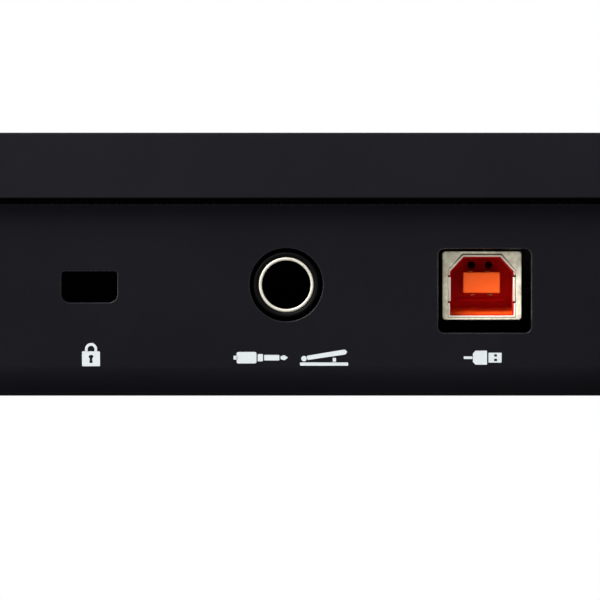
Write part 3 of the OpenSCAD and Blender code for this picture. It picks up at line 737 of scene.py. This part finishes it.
label_z = BASE + (UNDERSIDE_ROW - LABEL_ROW) * PIXEL * MM
lock_body = rect(2.35, 1.95, 0.12, 0, -0.55)
keyhole = rounded([(-0.16, -0.5), (-0.22, -1.1), (0.22, -1.1), (0.16, -0.5), (0.34, -0.3), (0.2, -0.05),
                   (-0.2, -0.05), (-0.34, -0.3)], 0.1)
shackle = stroke([(-0.62, 0.4), (-0.62, 0.72), *arc(0.62, 0, 0.72, range(170, 0, -10)), (0.62, 0.72),
                  (0.62, 0.4)], 0.36)
printed("sign_lock", [[lock_body, keyhole], [shackle]], on_back(LOCK.x - 0.22 * MM, BASE + 5.45 * MM))

pedal_base = rounded([(1.1, -1.05), (7.4, -1.05), (7.4, -0.62), (1.1, -0.62)], 0.12)
pedal_hinge = circle(0.36, 1.62, -0.12, 20)
pedal_plate = rounded([(2.1, -0.3), (7.05, 0.42), (7.3, 0.75), (7.0, 1.05), (6.6, 1.02), (1.95, 0.24)], 0.14)
pedal_spring = rect(0.42, 0.5, 0.06, 5.6, -0.28)
jack_plug = [
    rect(2.6, 1.5, 0.25, -5.9, 0.0), rect(0.7, 0.95, 0.1, -4.1, 0.0), rect(2.0, 0.72, 0.1, -2.6, 0.0),
    rounded([(-1.45, -0.2), (-0.95, -0.34), (-0.45, 0.0), (-0.95, 0.34), (-1.45, 0.2)], 0.1),
    rect(0.5, 0.5, 0.05, -7.35, 0.0),
]
printed("sign_pedal", [[shape] for shape in jack_plug + [pedal_base, pedal_hinge, pedal_plate, pedal_spring]],
        on_back(SOCKET.x - 0.7 * MM, label_z))

lead = rect(1.15, 0.34, 0.1, -1.98, 0)
grip = rounded([(-1.35, -0.55), (-1.0, -0.92), (0.5, -0.92), (0.5, 0.92), (-1.0, 0.92), (-1.35, 0.55)], 0.12)
plug_end = [rect(1.72, 1.3, 0.08, 1.55, 0)] + [rect(0.38, 0.3, 0.04, 1.62, y) for y in (0.3, -0.3)]
printed("sign_data", [[lead], [grip], plug_end], on_back(USB.x - 0.1 * MM, label_z))


# ---- Deck: prints, lamp and key felt ----

power, down, up, volume = (
    middle(node) for node in ("power_button", "voice_down_button", "voice_up_button", "volume_knob"))
ring = stroke(arc(1.35, 0, 0, range(125, 416, 10)), 0.34)
printed("print_power", [[ring], [rect(0.34, 1.5, 0.08, 0, 1.0)]], on_deck(power.x, power.y + 7.6 * MM))
printed("print_minus", [[rect(2.2, 0.45, 0.08)]], on_deck(down.x, down.y + 6.2 * MM))
cross = [(-1.1, -0.22), (-0.22, -0.22), (-0.22, -1.1), (0.22, -1.1), (0.22, -0.22), (1.1, -0.22),
         (1.1, 0.22), (0.22, 0.22), (0.22, 1.1), (-0.22, 1.1), (-0.22, 0.22), (-1.1, 0.22)]
printed("print_plus", [[cross]], on_deck(up.x, up.y + 6.2 * MM))
TICKS, FIRST_TICK, TICK_STEP = 11, 240, 30  # round the volume knob, in degrees
TICK_IN, TICK_OUT, LONG_TICK_OUT = 10.6, 12.0, 12.8
ticks = []
for k in range(TICKS):
    at = [FIRST_TICK - TICK_STEP * k]
    far = TICK_OUT if k % 5 else LONG_TICK_OUT
    ticks.append([stroke(arc(TICK_IN, 0, 0, at) + arc(far, 0, 0, at), 0.35)])
printed("print_volume", ticks, on_deck(volume.x, volume.y))
pointer_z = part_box("volume_knob")[1].z - 0.5 * MM
printed("volume_pointer", [[rect(0.9, 4.0, 0.2, 0, 5.4)]], on_deck(volume.x, volume.y, pointer_z), "volume")
LENS = [(0, -0.6), (1.25, -0.6), (1.25, 0.1), (1.1, 0.32), (0.8, 0.46), (0.4, 0.53), (0, 0.55)]
piece("power_lamp", [(lathe(LENS, 48), on_deck(power.x, power.y - 7.2 * MM))], "lens", "piano")
felt_place = mapped((0, 0.005, BASE + 27.7 * MM), (1, 0, 0), (0, 0, 1))
piece("key_felt_strip", [(plate([rect(380, 1.6, 0.4)], 0, 0.8, 0.2), felt_place)], "felt", "piano")


# ---- Stand: welds, knob cap and ribs on the rubbers ----

# Millimetres, for the left side. The right side is the left one, turned half round.
# Where the leg's floor bar and its arm are:
FOOT_X, ARM_X = -200, 150
LEG_FACES = ((8.5, -0.4), (28.5, 0.4))  # the y of the leg's two faces, and how far out of it a weld is
BAR_TOP, ARM_UNDER = 28.0, 671.7  # the heights where the leg meets them
WELD_RISE = 0.3  # how far off the bar or arm a weld is
WELD_HALF = 12  # half its length
# The caps on the bar and on the arm: their x, the height of their middles and how far out they reach.
CAPS = ((FOOT_X, 15.5, 190), (ARM_X, 684.2, 150))
RIBS, FIRST_RIB, RIB_STEP = 3, 7, 5  # on each cap, from its end
RIB_RISE = 0.25  # how far the ribs' middle is above the cap's
RIB_OUTER, RIB_INNER = rect(32.2, 31.4, 4.5), rect(30.0, 30.0, 3.4)
KNOB_CAP = [(0, -0.5), (9.6, -0.5), (9.6, 0.5), (9.3, 0.8), (8.7, 0.9), (8.3, 0.65), (7.9, 0.65), (7.5, 0.95),
            (5, 1.25), (0, 1.4)]


def weld(a, b, radius=1.5, step=1.1):
    """The points and radii of a bead of overlapping ripples from a to b, in millimetres."""
    a, b = Vector(a), Vector(b)
    n = max(4, round((b - a).length / step))
    data = []
    for i in range(n + 1):
        ripple = 0.82 + 0.18 * math.cos(i * math.pi)
        data.append((a.lerp(b, i / n), radius * ripple * (0.5 if i in (0, n) else 1)))
    return data


def bead(points, n=10):
    """Rings about a line, one for each point and radius, closed at both ends."""
    way = (points[-1][0] - points[0][0]).normalized()
    side = way.orthogonal().normalized()
    other = way.cross(side)
    turns = [k * math.tau / n for k in range(n)]
    return loft([[tuple(p + side * (r * math.cos(a)) + other * (r * math.sin(a))) for a in turns]
                 for p, r in points])


in_mm = Matrix.Scale(MM, 4)
for side, turn in (("left", 1), ("right", -1)):
    beads = []
    for y, out in LEG_FACES:
        for x, z in ((FOOT_X, BAR_TOP + WELD_RISE), (ARM_X, ARM_UNDER - WELD_RISE)):
            ends = [(turn * (x + half), turn * (y + out), z) for half in (-WELD_HALF, WELD_HALF)]
            beads.append((bead(weld(*ends)), in_mm))
    piece(f"{side}_leg_welds", beads, "tube", f"stand_{side}", "stand_tube")

    ribs = []
    for x, mid_z, reach in CAPS:
        for end in (-1, 1):
            for k in range(RIBS):
                y = end * (reach - FIRST_RIB - RIB_STEP * k)
                place = mapped((turn * x * MM, turn * y * MM, (mid_z + RIB_RISE) * MM), (1, 0, 0), (0, 0, 1))
                ribs.append((plate([RIB_OUTER, RIB_INNER], -0.9, 0.9, 0.4), place))
    piece(f"{side}_rubber_ribs", ribs, "rubber", f"stand_{side}", "stand_rubber")

knob = middle("clamp_knob")
cap_place = mapped((knob.x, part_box("clamp_knob")[0].y, knob.z), (1, 0, 0), (0, 0, 1))
piece("clamp_knob_cap", [(lathe(KNOB_CAP), cap_place)], "clutch", "hand_knob", "hand_knob")
